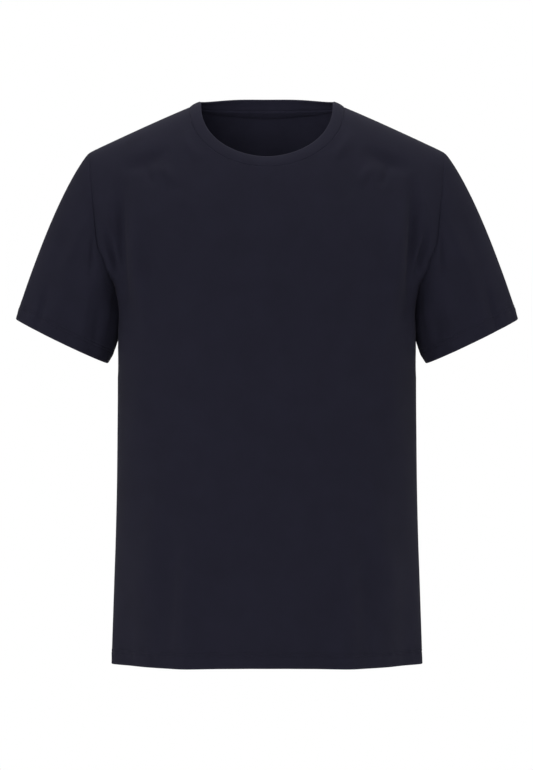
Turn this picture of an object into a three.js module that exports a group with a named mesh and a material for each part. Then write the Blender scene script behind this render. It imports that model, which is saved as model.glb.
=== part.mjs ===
// A short-sleeved pajama top of fine jersey, filled out as on the shoulders of a wearer who isn't there:
// a hollow body of a front and a back, two set-in sleeves and a folded neckband.
// Millimetres, +Z up, the front faces -Y. The origin is midway between the two high shoulder points,
// where the neckband meets the shoulder seams.
import * as THREE from "three";

// ---- Driving sizes ----
const SIDE_LENGTH = 691; // high shoulder point down to the hem, at a side seam
const HEM_RISE = { front: 3, back: 1 }; // the hem's middle over its ends
const HEM_RISE_POWER = 14; // how close to the middle the rise keeps
const NECK_HALF_WIDTH = 96;
const NECK_DROP = { front: 73, back: 6 };
const SHOULDER_HALF_WIDTH = 221;
const SHOULDER_SLOPE = 0.487;
const NECK_ROUNDING = 60; // how softly the shoulder line levels out towards the neck
const ARMPIT_DEPTH = 243; // below the high shoulder point
const SIDE_SEAM_Y = 4;
const CLOTH = 1.2;
const HEM = { height: 20, cloth: 2.2, step: 1.5 }; // turned up, so two layers
const BAND_CLOTH = 2.2; // the neckband is folded double above its seam
const BAND_CROWN = 0.9; // how far the band bows out between its edges
const SEAM_GAP = 0.3;
const SHARPEST_MITRE = 0.4; // the cosine past which a seam's cloth reaches no deeper

// The body's outline from the hem up: half width, depth before and behind the side seams, and how square
// its rounding is at its middle and at its sides (2 is an ellipse, and 1 comes to a corner).
const SECTIONS = [
  { z: -691, halfWidth: 193.5, front: 118, back: 108, middle: 2.2, side: 1.15 },
  { z: -600, halfWidth: 190, front: 117, back: 104, middle: 2.2, side: 1.45 },
  { z: -450, halfWidth: 186, front: 118, back: 99, middle: 2.3, side: 1.9 },
  { z: -330, halfWidth: 185, front: 120, back: 104, middle: 2.35, side: 2.35 },
  { z: -243, halfWidth: 193, front: 123, back: 112, middle: 2.4, side: 2.4 },
  { z: -164, halfWidth: 194, front: 120, back: 117, middle: 2.4, side: 2.4 },
  { z: -58, halfWidth: 198, front: 111, back: 110, middle: 2.4, side: 2.4 },
  { z: 0, halfWidth: 199, front: 106, back: 101, middle: 2.4, side: 2.4 },
];
// Beside the armholes the cloth flares out to the sleeves, and under them it tucks in.
const UNDERARM = [
  { z: -335, flare: 0, tuck: 0 },
  { z: -300, flare: 0, tuck: 6 },
  { z: -243, flare: 0, tuck: 25 },
  { z: -229, flare: 4, tuck: 22 },
  { z: -211, flare: 25, tuck: 12 },
  { z: -194, flare: 46, tuck: 3 },
  { z: -164, flare: 57, tuck: 0 },
  { z: -115, flare: 61, tuck: 0 },
  { z: -58, flare: 64, tuck: 0 },
];
const TUCK_SPREAD = 0.24; // radians round from the side seam
const FLARE_POWER = 4;
// Heights where the chest and the shoulder blades stand furthest out; above them the body domes over.
const DOME_BASE = { front: -235, back: -190 };
// How far round from the side seams the armholes swing, in degrees, and over what share of their height.
const ARMHOLE_SWING = { front: 29, back: 30 };
const SWING_SHARE = 0.4;

// The neckband's free edge from its seam: inward to the neck and up.
const BAND = {
  shoulder: { inward: 14.5, up: 6.8 },
  front: { inward: 9.5, up: 12.8 },
  back: { inward: 3.5, up: 16.2 },
};
const NECK_AXIS_Y = -12;

// The sleeve's hem is an oval across a leaning axis; its cloth leaves the armhole wider than the axis
// and comes to the hem narrower.
const SLEEVE = {
  hemCentre: { x: 254.8, y: 4, z: -289.7 },
  hemHalfWidth: 63,
  hemHalfDepth: 53,
  hemSag: 0.6,
  lean: 25.8,
  overarmSpread: 0.21,
  underarmSpread: -0.3,
  frontSpread: 0.22,
  hemTaper: 0.14,
  reach: 0.27,
};

// The largest folds, seen from the front: a line from its top to its foot, half width and height
// (below zero for a trough).
const FOLDS = {
  front: [
    { topX: 181, topZ: -98, footX: 183, footZ: -214, halfWidth: 9, height: -4.5 },
    { topX: 163, topZ: -115, footX: 168, footZ: -220, halfWidth: 12, height: 2.2 },
    { topX: 198, topZ: -112, footX: 194, footZ: -205, halfWidth: 8, height: 2.5 },
  ],
  back: [
    { topX: 178, topZ: -118, footX: 180, footZ: -222, halfWidth: 10, height: -4 },
    { topX: 162, topZ: -135, footX: 165, footZ: -225, halfWidth: 13, height: 2 },
  ],
};

// Grid steps.
const SHOULDER_STEPS = 12;
const SHOULDER_CROWDING = 1.3; // above 1, the columns crowd towards the armhole
const NECK_STEPS = 9;
const NECK_CROWDING = 1.6; // above 1, they crowd towards the shoulder seam
const BODY_ROWS = 17;
const DOME_ROWS = 16;
const ARMPIT_LEVEL = 0.7; // how far the columns have fanned out towards their top ends at the armpit
const ARMPIT_DIP = { depth: 36, columns: 2 }; // the row at the armpit dips inward, to square up its cells
const SLEEVE_ROWS = 11;
const BAND_ROWS = 3;

const radians = THREE.MathUtils.degToRad;
const { lerp, smoothstep, clamp } = THREE.MathUtils;
const QUARTER_TURN = Math.PI / 2;

// One column of a table at a height: a monotone cubic through its rows.
function column(rows, key, z) {
  const last = rows.length - 1;
  const at = clamp(z, rows[0].z, rows[last].z);
  let low = 0;
  while (low < last - 1 && at > rows[low + 1].z) low += 1;
  const slope = (i) => (rows[i + 1][key] - rows[i][key]) / (rows[i + 1].z - rows[i].z);
  const tangent = (i) => {
    if (i === 0) return slope(0);
    if (i === last) return slope(last - 1);
    const [before, after] = [slope(i - 1), slope(i)];
    return before * after > 0 ? (2 * before * after) / (before + after) : 0;
  };
  const span = rows[low + 1].z - rows[low].z;
  const t = (at - rows[low].z) / span;
  return (
    rows[low][key] * (1 + 2 * t) * (1 - t) ** 2 +
    span * tangent(low) * t * (1 - t) ** 2 +
    rows[low + 1][key] * t * t * (3 - 2 * t) +
    span * tangent(low + 1) * t * t * (t - 1)
  );
}

// ---- The form that the cloth takes ----

// The height of the shoulder line over a point across.
function ridge(x) {
  const reach = Math.hypot(NECK_HALF_WIDTH, NECK_ROUNDING);
  return SHOULDER_SLOPE * (reach - Math.hypot(x, NECK_ROUNDING));
}

// How far out a point lies, at an angle round from the side seam (0) to the middle (a quarter turn).
function halfBreadth(angle, z) {
  const across = Math.cos(angle) ** (2 / column(SECTIONS, "middle", z));
  return (
    column(SECTIONS, "halfWidth", z) * across +
    column(UNDERARM, "flare", z) * across ** FLARE_POWER -
    column(UNDERARM, "tuck", z) * Math.exp(-((angle / TUCK_SPREAD) ** 2))
  );
}

// A point of the body's outer face. part is "front" or "back", and hand is -1 or 1 for the side of X.
function skin(part, hand, angle, z) {
  const x = halfBreadth(angle, z);
  const rise = clamp((ridge(x) - z) / (ridge(x) - DOME_BASE[part]), 0, 1);
  const dome = Math.sqrt(rise * (2 - rise));
  const round = Math.sin(angle) ** (2 / column(SECTIONS, "side", z));
  const depth = column(SECTIONS, part, z) * round * dome;
  return new THREE.Vector3(hand * x, SIDE_SEAM_Y + (part === "front" ? -depth : depth), z);
}

// The angle at which the body reaches x at a height.
function angleAt(x, z) {
  let [low, high] = [0.2, QUARTER_TURN];
  for (let i = 0; i < 40; i += 1) {
    const middle = (low + high) / 2;
    if (halfBreadth(middle, z) > x) low = middle;
    else high = middle;
  }
  return (low + high) / 2;
}

const TIP_ANGLE = angleAt(SHOULDER_HALF_WIDTH, ridge(SHOULDER_HALF_WIDTH));

// ---- Grids of shared vertices. A seam's vertices belong to both of its pieces. ----

// A vertex keeps the normal of each surface it lies on: the body's, a sleeve's or the neckband's.
const vertex = (at) => ({ at, normals: {} });

// The share of the way up the armhole, dense at both ends.
const domeShare = (row) => (1 - Math.cos((Math.PI * row) / DOME_ROWS)) / 2;

// The angle of a body panel's edge: its side seam, and above that its armhole.
function edgeAngle(part, row) {
  const up = row / DOME_ROWS;
  if (up <= 0) return 0;
  const swing = radians(ARMHOLE_SWING[part]);
  const start = swing * Math.sin(QUARTER_TURN * Math.min(1, up / SWING_SHARE));
  return start + (TIP_ANGLE - swing) * smoothstep(up, SWING_SHARE, 1);
}

// The top ends of a half panel's columns, from the shoulder tip to the middle of the neckline.
function topEnds(part) {
  const ends = [];
  for (let i = 0; i < SHOULDER_STEPS; i += 1) {
    const inward = (i / SHOULDER_STEPS) ** SHOULDER_CROWDING;
    const x = lerp(SHOULDER_HALF_WIDTH, NECK_HALF_WIDTH, inward);
    ends.push({ x, z: ridge(x) });
  }
  for (let i = 0; i <= NECK_STEPS; i += 1) {
    const turn = QUARTER_TURN * (1 - (i / NECK_STEPS) ** NECK_CROWDING);
    ends.push({ x: NECK_HALF_WIDTH * Math.sin(turn), z: -NECK_DROP[part] * Math.cos(turn) });
  }
  return ends;
}

// The heights of a panel's rows under the armpit, over the hem: its turn-up first, then even steps.
function bodyHeights() {
  const above = HEM.height + HEM.step;
  const heights = [0, HEM.height / 2, HEM.height];
  const even = BODY_ROWS - heights.length;
  for (let i = 0; i < even; i += 1) {
    heights.push(lerp(above, SIDE_LENGTH - ARMPIT_DEPTH, i / even));
  }
  return heights;
}

// How far the folds lift the cloth at a point seen from the front.
function foldHeight(folds, at) {
  let height = 0;
  for (const fold of folds) {
    const along = (fold.topZ - at.z) / (fold.topZ - fold.footZ);
    if (along <= 0 || along >= 1) continue;
    const off = (Math.abs(at.x) - lerp(fold.topX, fold.footX, along)) / fold.halfWidth;
    height += fold.height * Math.sin(Math.PI * along) * Math.exp(-off * off);
  }
  return height;
}

// A body panel's vertices, in rows from the hem up. Rows run from -X to +X on the front, and the other
// way on the back, so that a panel's outer face is always on the same side of its grid.
function bodyGrid(part) {
  const ends = topEnds(part);
  const last = ends.length - 1;
  const inset = (end) => (angleAt(end.x, end.z) - TIP_ANGLE) / (QUARTER_TURN - TIP_ANGLE);
  const shares = ends.map((end, i) => (i === 0 ? 0 : i === last ? 1 : inset(end)));
  const angleIn = (i, edge, level) => {
    const share = lerp(i / last, shares[i], level * level);
    return lerp(edge, QUARTER_TURN, share);
  };
  const hemZ = (angle) => -SIDE_LENGTH + HEM_RISE[part] * Math.sin(angle) ** HEM_RISE_POWER;
  const dip = (i) => ARMPIT_DIP.depth * (1 - Math.exp(-i / ARMPIT_DIP.columns));
  const halfRow = (hand, row) => {
    const half = [];
    for (let i = 0; i <= last; i += 1) {
      let angle;
      let z;
      if (row < BODY_ROWS) {
        const share = bodyHeights()[row] / (SIDE_LENGTH - ARMPIT_DEPTH);
        angle = angleIn(i, 0, ARMPIT_LEVEL * share);
        z = lerp(hemZ(angle), -ARMPIT_DEPTH, share) - dip(i) * share * share;
      } else {
        const domeRow = row - BODY_ROWS;
        const up = lerp(domeShare(domeRow), domeRow / DOME_ROWS, i / last);
        angle = angleIn(i, edgeAngle(part, domeRow), lerp(ARMPIT_LEVEL, 1, up));
        z = lerp(-ARMPIT_DEPTH - dip(i), ends[i].z, up);
      }
      half.push(vertex(skin(part, hand, angle, z)));
    }
    return half;
  };
  const first = part === "front" ? -1 : 1;
  const grid = [];
  for (let row = 0; row <= BODY_ROWS + DOME_ROWS; row += 1) {
    const leading = halfRow(first, row);
    const trailing = halfRow(-first, row).slice(0, -1).reverse();
    leading[last].at.x = 0;
    grid.push([...leading, ...trailing]);
  }
  press(grid, FOLDS[part]);
  return grid;
}

// Lifts the cloth along its own normals by its folds.
function press(grid, folds) {
  addNormals(grid, "body", false);
  for (const row of grid) {
    for (const point of row) {
      point.at.addScaledVector(point.normals.body.normalize(), foldHeight(folds, point.at));
      point.normals = {};
    }
  }
}

// Adds each quad's normal, longer for a larger quad, to its corners' normals of one surface.
function addNormals(grid, surface, closed) {
  const columns = grid[0].length - (closed ? 0 : 1);
  for (let j = 0; j + 1 < grid.length; j += 1) {
    for (let i = 0; i < columns; i += 1) {
      const next = (i + 1) % grid[0].length;
      const corners = [grid[j][i], grid[j][next], grid[j + 1][next], grid[j + 1][i]];
      const across = corners[2].at.clone().sub(corners[0].at);
      const back = corners[3].at.clone().sub(corners[1].at);
      const normal = across.cross(back);
      for (const corner of corners) {
        corner.normals[surface] ??= new THREE.Vector3();
        corner.normals[surface].add(normal);
      }
    }
  }
}

// The direction out through the cloth, which halves the angle at a seam, and how many times further the
// cloth reaches along it than through its own thickness.
function outThrough(point) {
  const units = Object.values(point.normals).map((normal) => normal.clone().normalize());
  const out = new THREE.Vector3();
  for (const unit of units) out.add(unit);
  out.normalize();
  return { out, stretch: 1 / Math.max(out.dot(units[0]), SHARPEST_MITRE) };
}

// The front and back share their side seams and shoulder seams.
function sewBody(front, back) {
  const end = front[0].length - 1;
  for (let row = 0; row <= BODY_ROWS; row += 1) {
    back[row][0] = front[row][end];
    back[row][end] = front[row][0];
  }
  const top = BODY_ROWS + DOME_ROWS;
  for (let i = 0; i <= SHOULDER_STEPS; i += 1) {
    back[top][i] = front[top][end - i];
    back[top][end - i] = front[top][i];
  }
}

// An armhole's vertices, from the shoulder tip round to just short of it again, with the body's outside
// on the sleeve's outside.
function armhole(front, back, hand) {
  const end = front[0].length - 1;
  const frontEdge = front.slice(BODY_ROWS).map((row) => row[hand < 0 ? 0 : end]);
  const backEdge = back.slice(BODY_ROWS).map((row) => row[hand < 0 ? end : 0]);
  const [down, up] = hand < 0 ? [frontEdge, backEdge] : [backEdge, frontEdge];
  return [...down.reverse(), ...up.slice(1, -1)];
}

// A sleeve's vertices, in closed rows from its hem up to the armhole.
function sleeveGrid(loop, hand) {
  const lean = radians(SLEEVE.lean);
  const axis = new THREE.Vector3(hand * Math.sin(lean), 0, -Math.cos(lean));
  const outward = new THREE.Vector3(hand * Math.cos(lean), 0, Math.sin(lean));
  const forward = new THREE.Vector3(0, -1, 0);
  const { x, y, z } = SLEEVE.hemCentre;
  const centre = new THREE.Vector3(hand * x, y, z);

  const lengths = [0];
  loop.forEach((point, i) => {
    lengths.push(lengths[i] + point.at.distanceTo(loop[(i + 1) % loop.length].at));
  });
  const half = lengths[loop.length / 2];
  const whole = lengths[loop.length];
  const turnOf = (i) => {
    const length = lengths[i];
    return length < half
      ? (Math.PI * length) / half
      : Math.PI * (1 + (length - half) / (whole - half));
  };

  const strands = loop.map((start, i) => {
    const turn = turnOf(i);
    const out = Math.cos(turn);
    const ahead = hand < 0 ? Math.sin(turn) : -Math.sin(turn);
    const hem = centre
      .clone()
      .addScaledVector(outward, SLEEVE.hemHalfWidth * out)
      .addScaledVector(forward, SLEEVE.hemHalfDepth * ahead)
      .addScaledVector(axis, SLEEVE.hemSag * ahead);
    const spread = lerp(SLEEVE.underarmSpread, SLEEVE.overarmSpread, (1 + out) / 2);
    const leave = axis
      .clone()
      .addScaledVector(outward, spread * out)
      .addScaledVector(forward, SLEEVE.frontSpread * ahead);
    const arrive = axis.clone().addScaledVector(outward, -SLEEVE.hemTaper * out);
    const reach = SLEEVE.reach * hem.distanceTo(start.at);
    const curve = new THREE.CubicBezierCurve3(
      start.at,
      start.at.clone().addScaledVector(leave.normalize(), reach),
      hem.clone().addScaledVector(arrive.normalize(), -reach),
      hem,
    );
    return { start, curve, length: curve.getLength() };
  });
  return sleeveHeights().map((height, row, heights) =>
    strands.map(({ start, curve, length }) => {
      if (row === heights.length - 1) return start;
      const up = height.share ?? height.fromHem / length;
      return vertex(curve.getPointAt(1 - up));
    }),
  );
}

// The rows of a sleeve: its turned-up hem in millimetres, then shares of each strand.
function sleeveHeights() {
  const rows = [0, HEM.height / 2, HEM.height, HEM.height + HEM.step].map((fromHem) => ({ fromHem }));
  const first = 0.32;
  const rest = SLEEVE_ROWS - rows.length;
  for (let i = 0; i <= rest; i += 1) rows.push({ share: lerp(first, 1, i / rest) });
  return rows;
}

// The neckband's vertices, in closed rows from its seam up to its free edge.
function bandGrid(front, back) {
  const top = BODY_ROWS + DOME_ROWS;
  const neckline = (grid) => grid[top].slice(SHOULDER_STEPS, -SHOULDER_STEPS);
  const seam = [...neckline(front), ...neckline(back).slice(1, -1)];
  const grid = [seam];
  for (let row = 1; row <= BAND_ROWS; row += 1) {
    const up = row / BAND_ROWS;
    grid.push(
      seam.map(({ at }) => {
        const fromAxis = new THREE.Vector3(at.x, at.y - NECK_AXIS_Y, 0).normalize();
        const aside = fromAxis.x ** 4;
        const facing = fromAxis.y < 0 ? BAND.front : BAND.back;
        const inward = lerp(facing.inward, BAND.shoulder.inward, aside);
        const rise = lerp(facing.up, BAND.shoulder.up, aside);
        const crown = BAND_CROWN * Math.sin(Math.PI * up);
        const moved = at.clone().addScaledVector(fromAxis, crown - inward * up);
        moved.z += rise * up + crown * (inward / (inward + rise));
        return vertex(moved);
      }),
    );
  }
  return grid;
}

// ---- Solids ----

// The direction into a piece from one stretch of its seam, square to it and to the cloth's thickness.
function awayFromSeam(point, neighbour, inner) {
  const along = neighbour.at.clone().sub(point.at);
  const away = along.cross(outThrough(neighbour).out).normalize();
  return away.dot(inner.at.clone().sub(point.at)) < 0 ? away.negate() : away;
}

// How far each vertex is moved off its seams, so that two pieces lie a gap apart.
function seamMoves(grid, closed, isSeam) {
  const rows = grid.length - 1;
  const columns = grid[0].length - 1;
  const nth = (j, i) => grid[j][(i + columns + 1) % (columns + 1)];
  return grid.map((line, j) =>
    line.map((point, i) => {
      const aways = [];
      if (!closed && (i === 0 || i === columns)) {
        const inner = nth(j, i === 0 ? 1 : columns - 1);
        if (j > 0) aways.push(awayFromSeam(point, nth(j - 1, i), inner));
        if (j < rows) aways.push(awayFromSeam(point, nth(j + 1, i), inner));
      }
      if ((j === 0 || j === rows) && isSeam(j)) {
        const inner = nth(j === 0 ? 1 : rows - 1, i);
        if (closed || i > 0) aways.push(awayFromSeam(point, nth(j, i - 1), inner));
        if (closed || i < columns) aways.push(awayFromSeam(point, nth(j, i + 1), inner));
      }
      if (aways.length < 2) return (aways[0] ?? new THREE.Vector3()).multiplyScalar(SEAM_GAP / 2);
      const [one, other] = aways;
      return one.clone().add(other).multiplyScalar(SEAM_GAP / 2 / (1 + one.dot(other)));
    }),
  );
}

// A closed wall under a grid: its outer face on the grid, its inner face the cloth's thickness within.
function wall(grid, { closed = false, isSeam, thickness }) {
  const rows = grid.length;
  const columns = grid[0].length;
  const moves = seamMoves(grid, closed, isSeam);
  const positions = [];
  for (const depth of [0, 1]) {
    grid.forEach((line, j) =>
      line.forEach((point, i) => {
        const { out, stretch } = outThrough(point);
        const at = point.at.clone().addScaledVector(out, -depth * stretch * thickness(j));
        positions.push(...at.add(moves[j][i]).toArray());
      }),
    );
  }
  const index = [];
  const outer = (j, i) => j * columns + (i % columns);
  const inner = (j, i) => rows * columns + outer(j, i);
  const apart = (a, b) => Math.hypot(...[0, 1, 2].map((k) => positions[3 * a + k] - positions[3 * b + k]));
  // Two triangles across the shorter diagonal, which mirrors with the garment.
  const quad = (a, b, c, d) => {
    if (apart(a, c) < apart(b, d)) index.push(a, b, c, a, c, d);
    else index.push(a, b, d, b, c, d);
  };
  const spans = closed ? columns : columns - 1;
  for (let i = 0; i < spans; i += 1) {
    for (let j = 0; j + 1 < rows; j += 1) {
      quad(outer(j, i), outer(j, i + 1), outer(j + 1, i + 1), outer(j + 1, i));
      quad(inner(j, i), inner(j + 1, i), inner(j + 1, i + 1), inner(j, i + 1));
    }
    const top = rows - 1;
    quad(outer(0, i), inner(0, i), inner(0, i + 1), outer(0, i + 1));
    quad(outer(top, i), outer(top, i + 1), inner(top, i + 1), inner(top, i));
  }
  if (!closed) {
    for (let j = 0; j + 1 < rows; j += 1) {
      quad(outer(j, 0), outer(j + 1, 0), inner(j + 1, 0), inner(j, 0));
      quad(outer(j, spans), inner(j, spans), inner(j + 1, spans), outer(j + 1, spans));
    }
  }
  const geometry = new THREE.BufferGeometry();
  geometry.setAttribute("position", new THREE.Float32BufferAttribute(positions, 3));
  geometry.setIndex(index);
  geometry.computeVertexNormals();
  return geometry;
}

function piece(name, geometry, colour) {
  const material = new THREE.MeshStandardMaterial({ color: colour, roughness: 0.9, metalness: 0 });
  const mesh = new THREE.Mesh(geometry, material);
  mesh.name = name;
  return mesh;
}

// ---- The garment ----
const NAVY = 0x22222c;

const front = bodyGrid("front");
const back = bodyGrid("back");
sewBody(front, back);
const sleeves = { right: sleeveGrid(armhole(front, back, -1), -1), left: sleeveGrid(armhole(front, back, 1), 1) };
const band = bandGrid(front, back);

addNormals(front, "body", false);
addNormals(back, "body", false);
addNormals(sleeves.right, "sleeve", true);
addNormals(sleeves.left, "sleeve", true);
addNormals(band, "band", true);

const turnedUp = (row) => (row < 3 ? HEM.cloth : CLOTH);
const bodyWall = { isSeam: (row) => row > 0, thickness: turnedUp };
const sleeveWall = { closed: true, isSeam: (row) => row > 0, thickness: turnedUp };
const bandWall = {
  closed: true,
  isSeam: (row) => row === 0,
  thickness: (row) => (row === 0 ? CLOTH : BAND_CLOTH),
};

const pajamaTop = new THREE.Group();
pajamaTop.name = "pajama_top";
pajamaTop.add(
  piece("front", wall(front, bodyWall), NAVY),
  piece("back", wall(back, bodyWall), NAVY),
  piece("sleeve_right", wall(sleeves.right, sleeveWall), NAVY),
  piece("sleeve_left", wall(sleeves.left, sleeveWall), NAVY),
  piece("neckband", wall(band, bandWall), NAVY),
);

export default pajamaTop;
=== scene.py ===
"""A short-sleeved crew-neck pajama top of fine dark navy jersey, filled out with nobody in it.

Each sewn piece is a thin shell on its solid's form: the same sizes and functions at a finer step, with
creases, rolled seam edges, turned-up hems and twin-needle stitching. Sizes are in millimetres until a
mesh is made.
"""

import math

import bpy
import numpy as np
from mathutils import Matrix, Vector
from mathutils.kdtree import KDTree


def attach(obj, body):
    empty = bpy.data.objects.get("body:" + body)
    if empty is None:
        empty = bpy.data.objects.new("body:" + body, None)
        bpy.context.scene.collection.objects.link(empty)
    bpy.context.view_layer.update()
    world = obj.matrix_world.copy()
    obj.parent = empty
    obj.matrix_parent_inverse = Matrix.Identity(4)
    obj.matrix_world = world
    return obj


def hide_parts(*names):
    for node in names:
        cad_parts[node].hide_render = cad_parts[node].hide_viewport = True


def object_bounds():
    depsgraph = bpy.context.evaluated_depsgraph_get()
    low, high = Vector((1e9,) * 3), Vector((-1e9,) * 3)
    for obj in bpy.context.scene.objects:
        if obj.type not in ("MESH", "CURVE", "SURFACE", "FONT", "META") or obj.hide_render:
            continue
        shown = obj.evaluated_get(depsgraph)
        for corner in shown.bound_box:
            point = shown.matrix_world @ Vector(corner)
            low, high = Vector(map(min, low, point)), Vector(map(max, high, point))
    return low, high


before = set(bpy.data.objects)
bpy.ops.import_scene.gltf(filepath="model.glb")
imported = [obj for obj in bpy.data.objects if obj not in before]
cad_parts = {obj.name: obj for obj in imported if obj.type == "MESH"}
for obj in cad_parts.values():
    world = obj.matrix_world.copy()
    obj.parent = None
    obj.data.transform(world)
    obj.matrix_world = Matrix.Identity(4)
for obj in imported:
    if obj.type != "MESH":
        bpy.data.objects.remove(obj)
cad_low, cad_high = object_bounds()

MM = 0.001
QUARTER = math.pi / 2


def table(names, rows):
    """Named columns of a short table."""
    return dict(zip(names.split(), np.array(rows, float).T))


# ---- Sizes of the form, as in the solids ----
SIDE_LENGTH = 691
HEM_RISE = {"front": 3, "back": 1}
HEM_RISE_POWER = 14
NECK_HALF_WIDTH = 96
NECK_DROP = {"front": 73, "back": 6}
SHOULDER_HALF_WIDTH = 221
SHOULDER_SLOPE = 0.487
NECK_ROUNDING = 60
ARMPIT_DEPTH = 243
SIDE_SEAM_Y = 4
SECTIONS = table("z half_width front back middle side", [
    (-691, 193.5, 118, 108, 2.2, 1.15),
    (-600, 190, 117, 104, 2.2, 1.45),
    (-450, 186, 118, 99, 2.3, 1.9),
    (-330, 185, 120, 104, 2.35, 2.35),
    (-243, 193, 123, 112, 2.4, 2.4),
    (-164, 194, 120, 117, 2.4, 2.4),
    (-58, 198, 111, 110, 2.4, 2.4),
    (0, 199, 106, 101, 2.4, 2.4),
])
UNDERARM = table("z flare tuck", [
    (-335, 0, 0),
    (-300, 0, 6),
    (-243, 0, 25),
    (-229, 4, 22),
    (-211, 25, 12),
    (-194, 46, 3),
    (-164, 57, 0),
    (-115, 61, 0),
    (-58, 64, 0),
])
TUCK_SPREAD = 0.24
FLARE_POWER = 4
DOME_BASE = {"front": -235, "back": -190}
ARMHOLE_SWING = {"front": 29, "back": 30}
SWING_SHARE = 0.4
BAND = {
    "shoulder": {"inward": 14.5, "up": 6.8},
    "front": {"inward": 9.5, "up": 12.8},
    "back": {"inward": 3.5, "up": 16.2},
}
BAND_SIDE_POWER = 4
BAND_CROWN = 0.9
NECK_AXIS_Y = -12
SLEEVE = {
    "hem_centre": (254.8, 4, -289.7),
    "hem_half_width": 63,
    "hem_half_depth": 53,
    "hem_sag": 0.6,
    "lean": 25.8,
    "overarm_spread": 0.21,
    "underarm_spread": -0.3,
    "front_spread": 0.22,
    "hem_taper": 0.14,
    "reach": 0.27,
}
# How the solids' columns fan out, from 0 at the side to 21 at the middle.
SHOULDER_COLUMNS = 12
SHOULDER_CROWDING = 1.3
NECK_COLUMNS = 9
NECK_CROWDING = 1.6
ALL_COLUMNS = SHOULDER_COLUMNS + NECK_COLUMNS
ARMPIT_LEVEL = 0.7
ARMPIT_DIP = {"depth": 36, "columns": 2}

# ---- Cloth ----
CLOTH = 1.1  # thickness
HEM = {"height": 20, "cloth": 2.2, "step": 1.0}
BAND_CLOTH = 2.2
BAND_THICKENS = (0.4, 3)  # from one layer to two, between these heights over its seam
# The band's inner face is paler partly as the reverse is and partly as painted light that lifts the shade
# inside.
BAND_REVERSE_AND_PAINTED_LIGHT = 0.5  # how far the band's inner face has the reverse's paler tone
NEEDLES = (15.6, 19.2)  # the hems' two rows of stitches, above the fold
NEEDLE_DIP = {"depth": 0.34, "half_width": 0.9}
PUCKERS = ((13.5, 0.5, 0.2), (21, -0.4, 0.26), (47, 0.2, 0.3))  # wave length, lean and height
PUCKER_BAND = {"centre": 15, "half_width": 8}  # beside the stitches
SEAM_DIP = {"depth": 0.26, "neck_depth": 0.08, "half_width": 1.3, "inner_share": 0.4}
SEAM_GAP = 0.12
SHARPEST_MITRE = 0.4
MITRE_SPREAD = 5
# The overlocked edges, pressed to one side within: sizes, share of the reverse's paler tone (partly painted
# light that lifts the shade inside), the grid lines that they cover (about 7 mm), and those by which they
# pass their seam or stop short of its ends.
ALLOWANCE = {"clearance": 0.12, "thickness": 0.9, "reverse": 0.65, "lines": 7, "lip": 2}
ALLOWANCE_ENDS = {"armpit": 2, "tip": 3, "neck": 4}
FOLD_WEAR = {"most": 0.25, "reach": 1.5}  # how far the folded edges have paled
# Offsets from a piece's edges, where its grid is finer for a rolled seam.
EDGE_STEPS = np.array([0, 0.5, 1.1, 1.9, 3.2, 4.9])
HEM_STEPS = np.array(
    [0, 0.6, 1.5, 3.2, 5.6, 8, 10.4, 12.8, 14.3, 15.0]
    + [15.6, 16.2, 16.9, 17.9, 18.6, 19.2, 19.8, 20.5, 21.4, 23]
)
BAND_STEPS = np.concatenate([EDGE_STEPS, [6.6, 8.3, 10, 11.6, 13, 14.2, 15.1, 15.8]])

# ---- Creases ----
# On a body panel, seen from in front of it: x and z of a line's top and of its foot, how far its middle
# bows outward (or down), half width, height (below zero for a trough), and the share of the height that
# its like on -X has. A line may run past the hem or a seam, and is cut off there.
FRONT_FOLDS = [
    # beside the armhole: a deep trough between ridges, a fine crease, and the chest's edge
    (179, -80, 174, -262, 3, 6.8, -8.4, 0.8),
    (184, -120, 176, -276, 2, 11, -4.2, 1.05),
    (163, -92, 143, -300, 5, 10, 5.0, 1.1),
    (196, -104, 188, -205, -2, 4.2, 4.4, 0.9),
    (194, -116, 187, -178, 0, 2.6, -3.8, 1.1),
    (198, -140, 188, -216, 1, 3.2, -4.4, 0.85),
    # the hollow over the armpit
    (196, -150, 187, -234, 0, 7, -7.0, 1),
    # under the shoulder
    (180, -78, 118, -52, 3, 9, -4.4, 0.9),
    (151, -68, 137, -98, 2, 4.2, -3.4, 0.8),
    (131, -72, 112, -101, -3, 5.5, 3.0, 1.1),
    (104, -30, 78, -66, 4, 7, 2.2, 0.85),
    (120, -96, 88, -128, 3, 8, 1.3, 1.1),
    # from the waist over the hips to the hem
    (150, -300, 166, -420, -4, 13, 2.6, 0.7),
    (124, -425, 160, -620, -7, 19, 5.6, 0.9),
    (94, -455, 100, -770, 6, 15, 4.8, 1.05),
    (113, -500, 122, -680, 0, 14, -4.0, 1.1),
    (62, -540, 54, -770, 5, 20, -5.0, 0.85),
    (172, -540, 166, -780, 4, 14, -3.4, 0.8),
    (0, -440, 0, -620, 0, 34, -3.4, 1),
    (0, -600, 0, -790, 0, 17, 2.8, 1),
    # where the sleeve lies against the side
    (183, -215, 186, -335, 0, 10, 4.4, 1),
]
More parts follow.
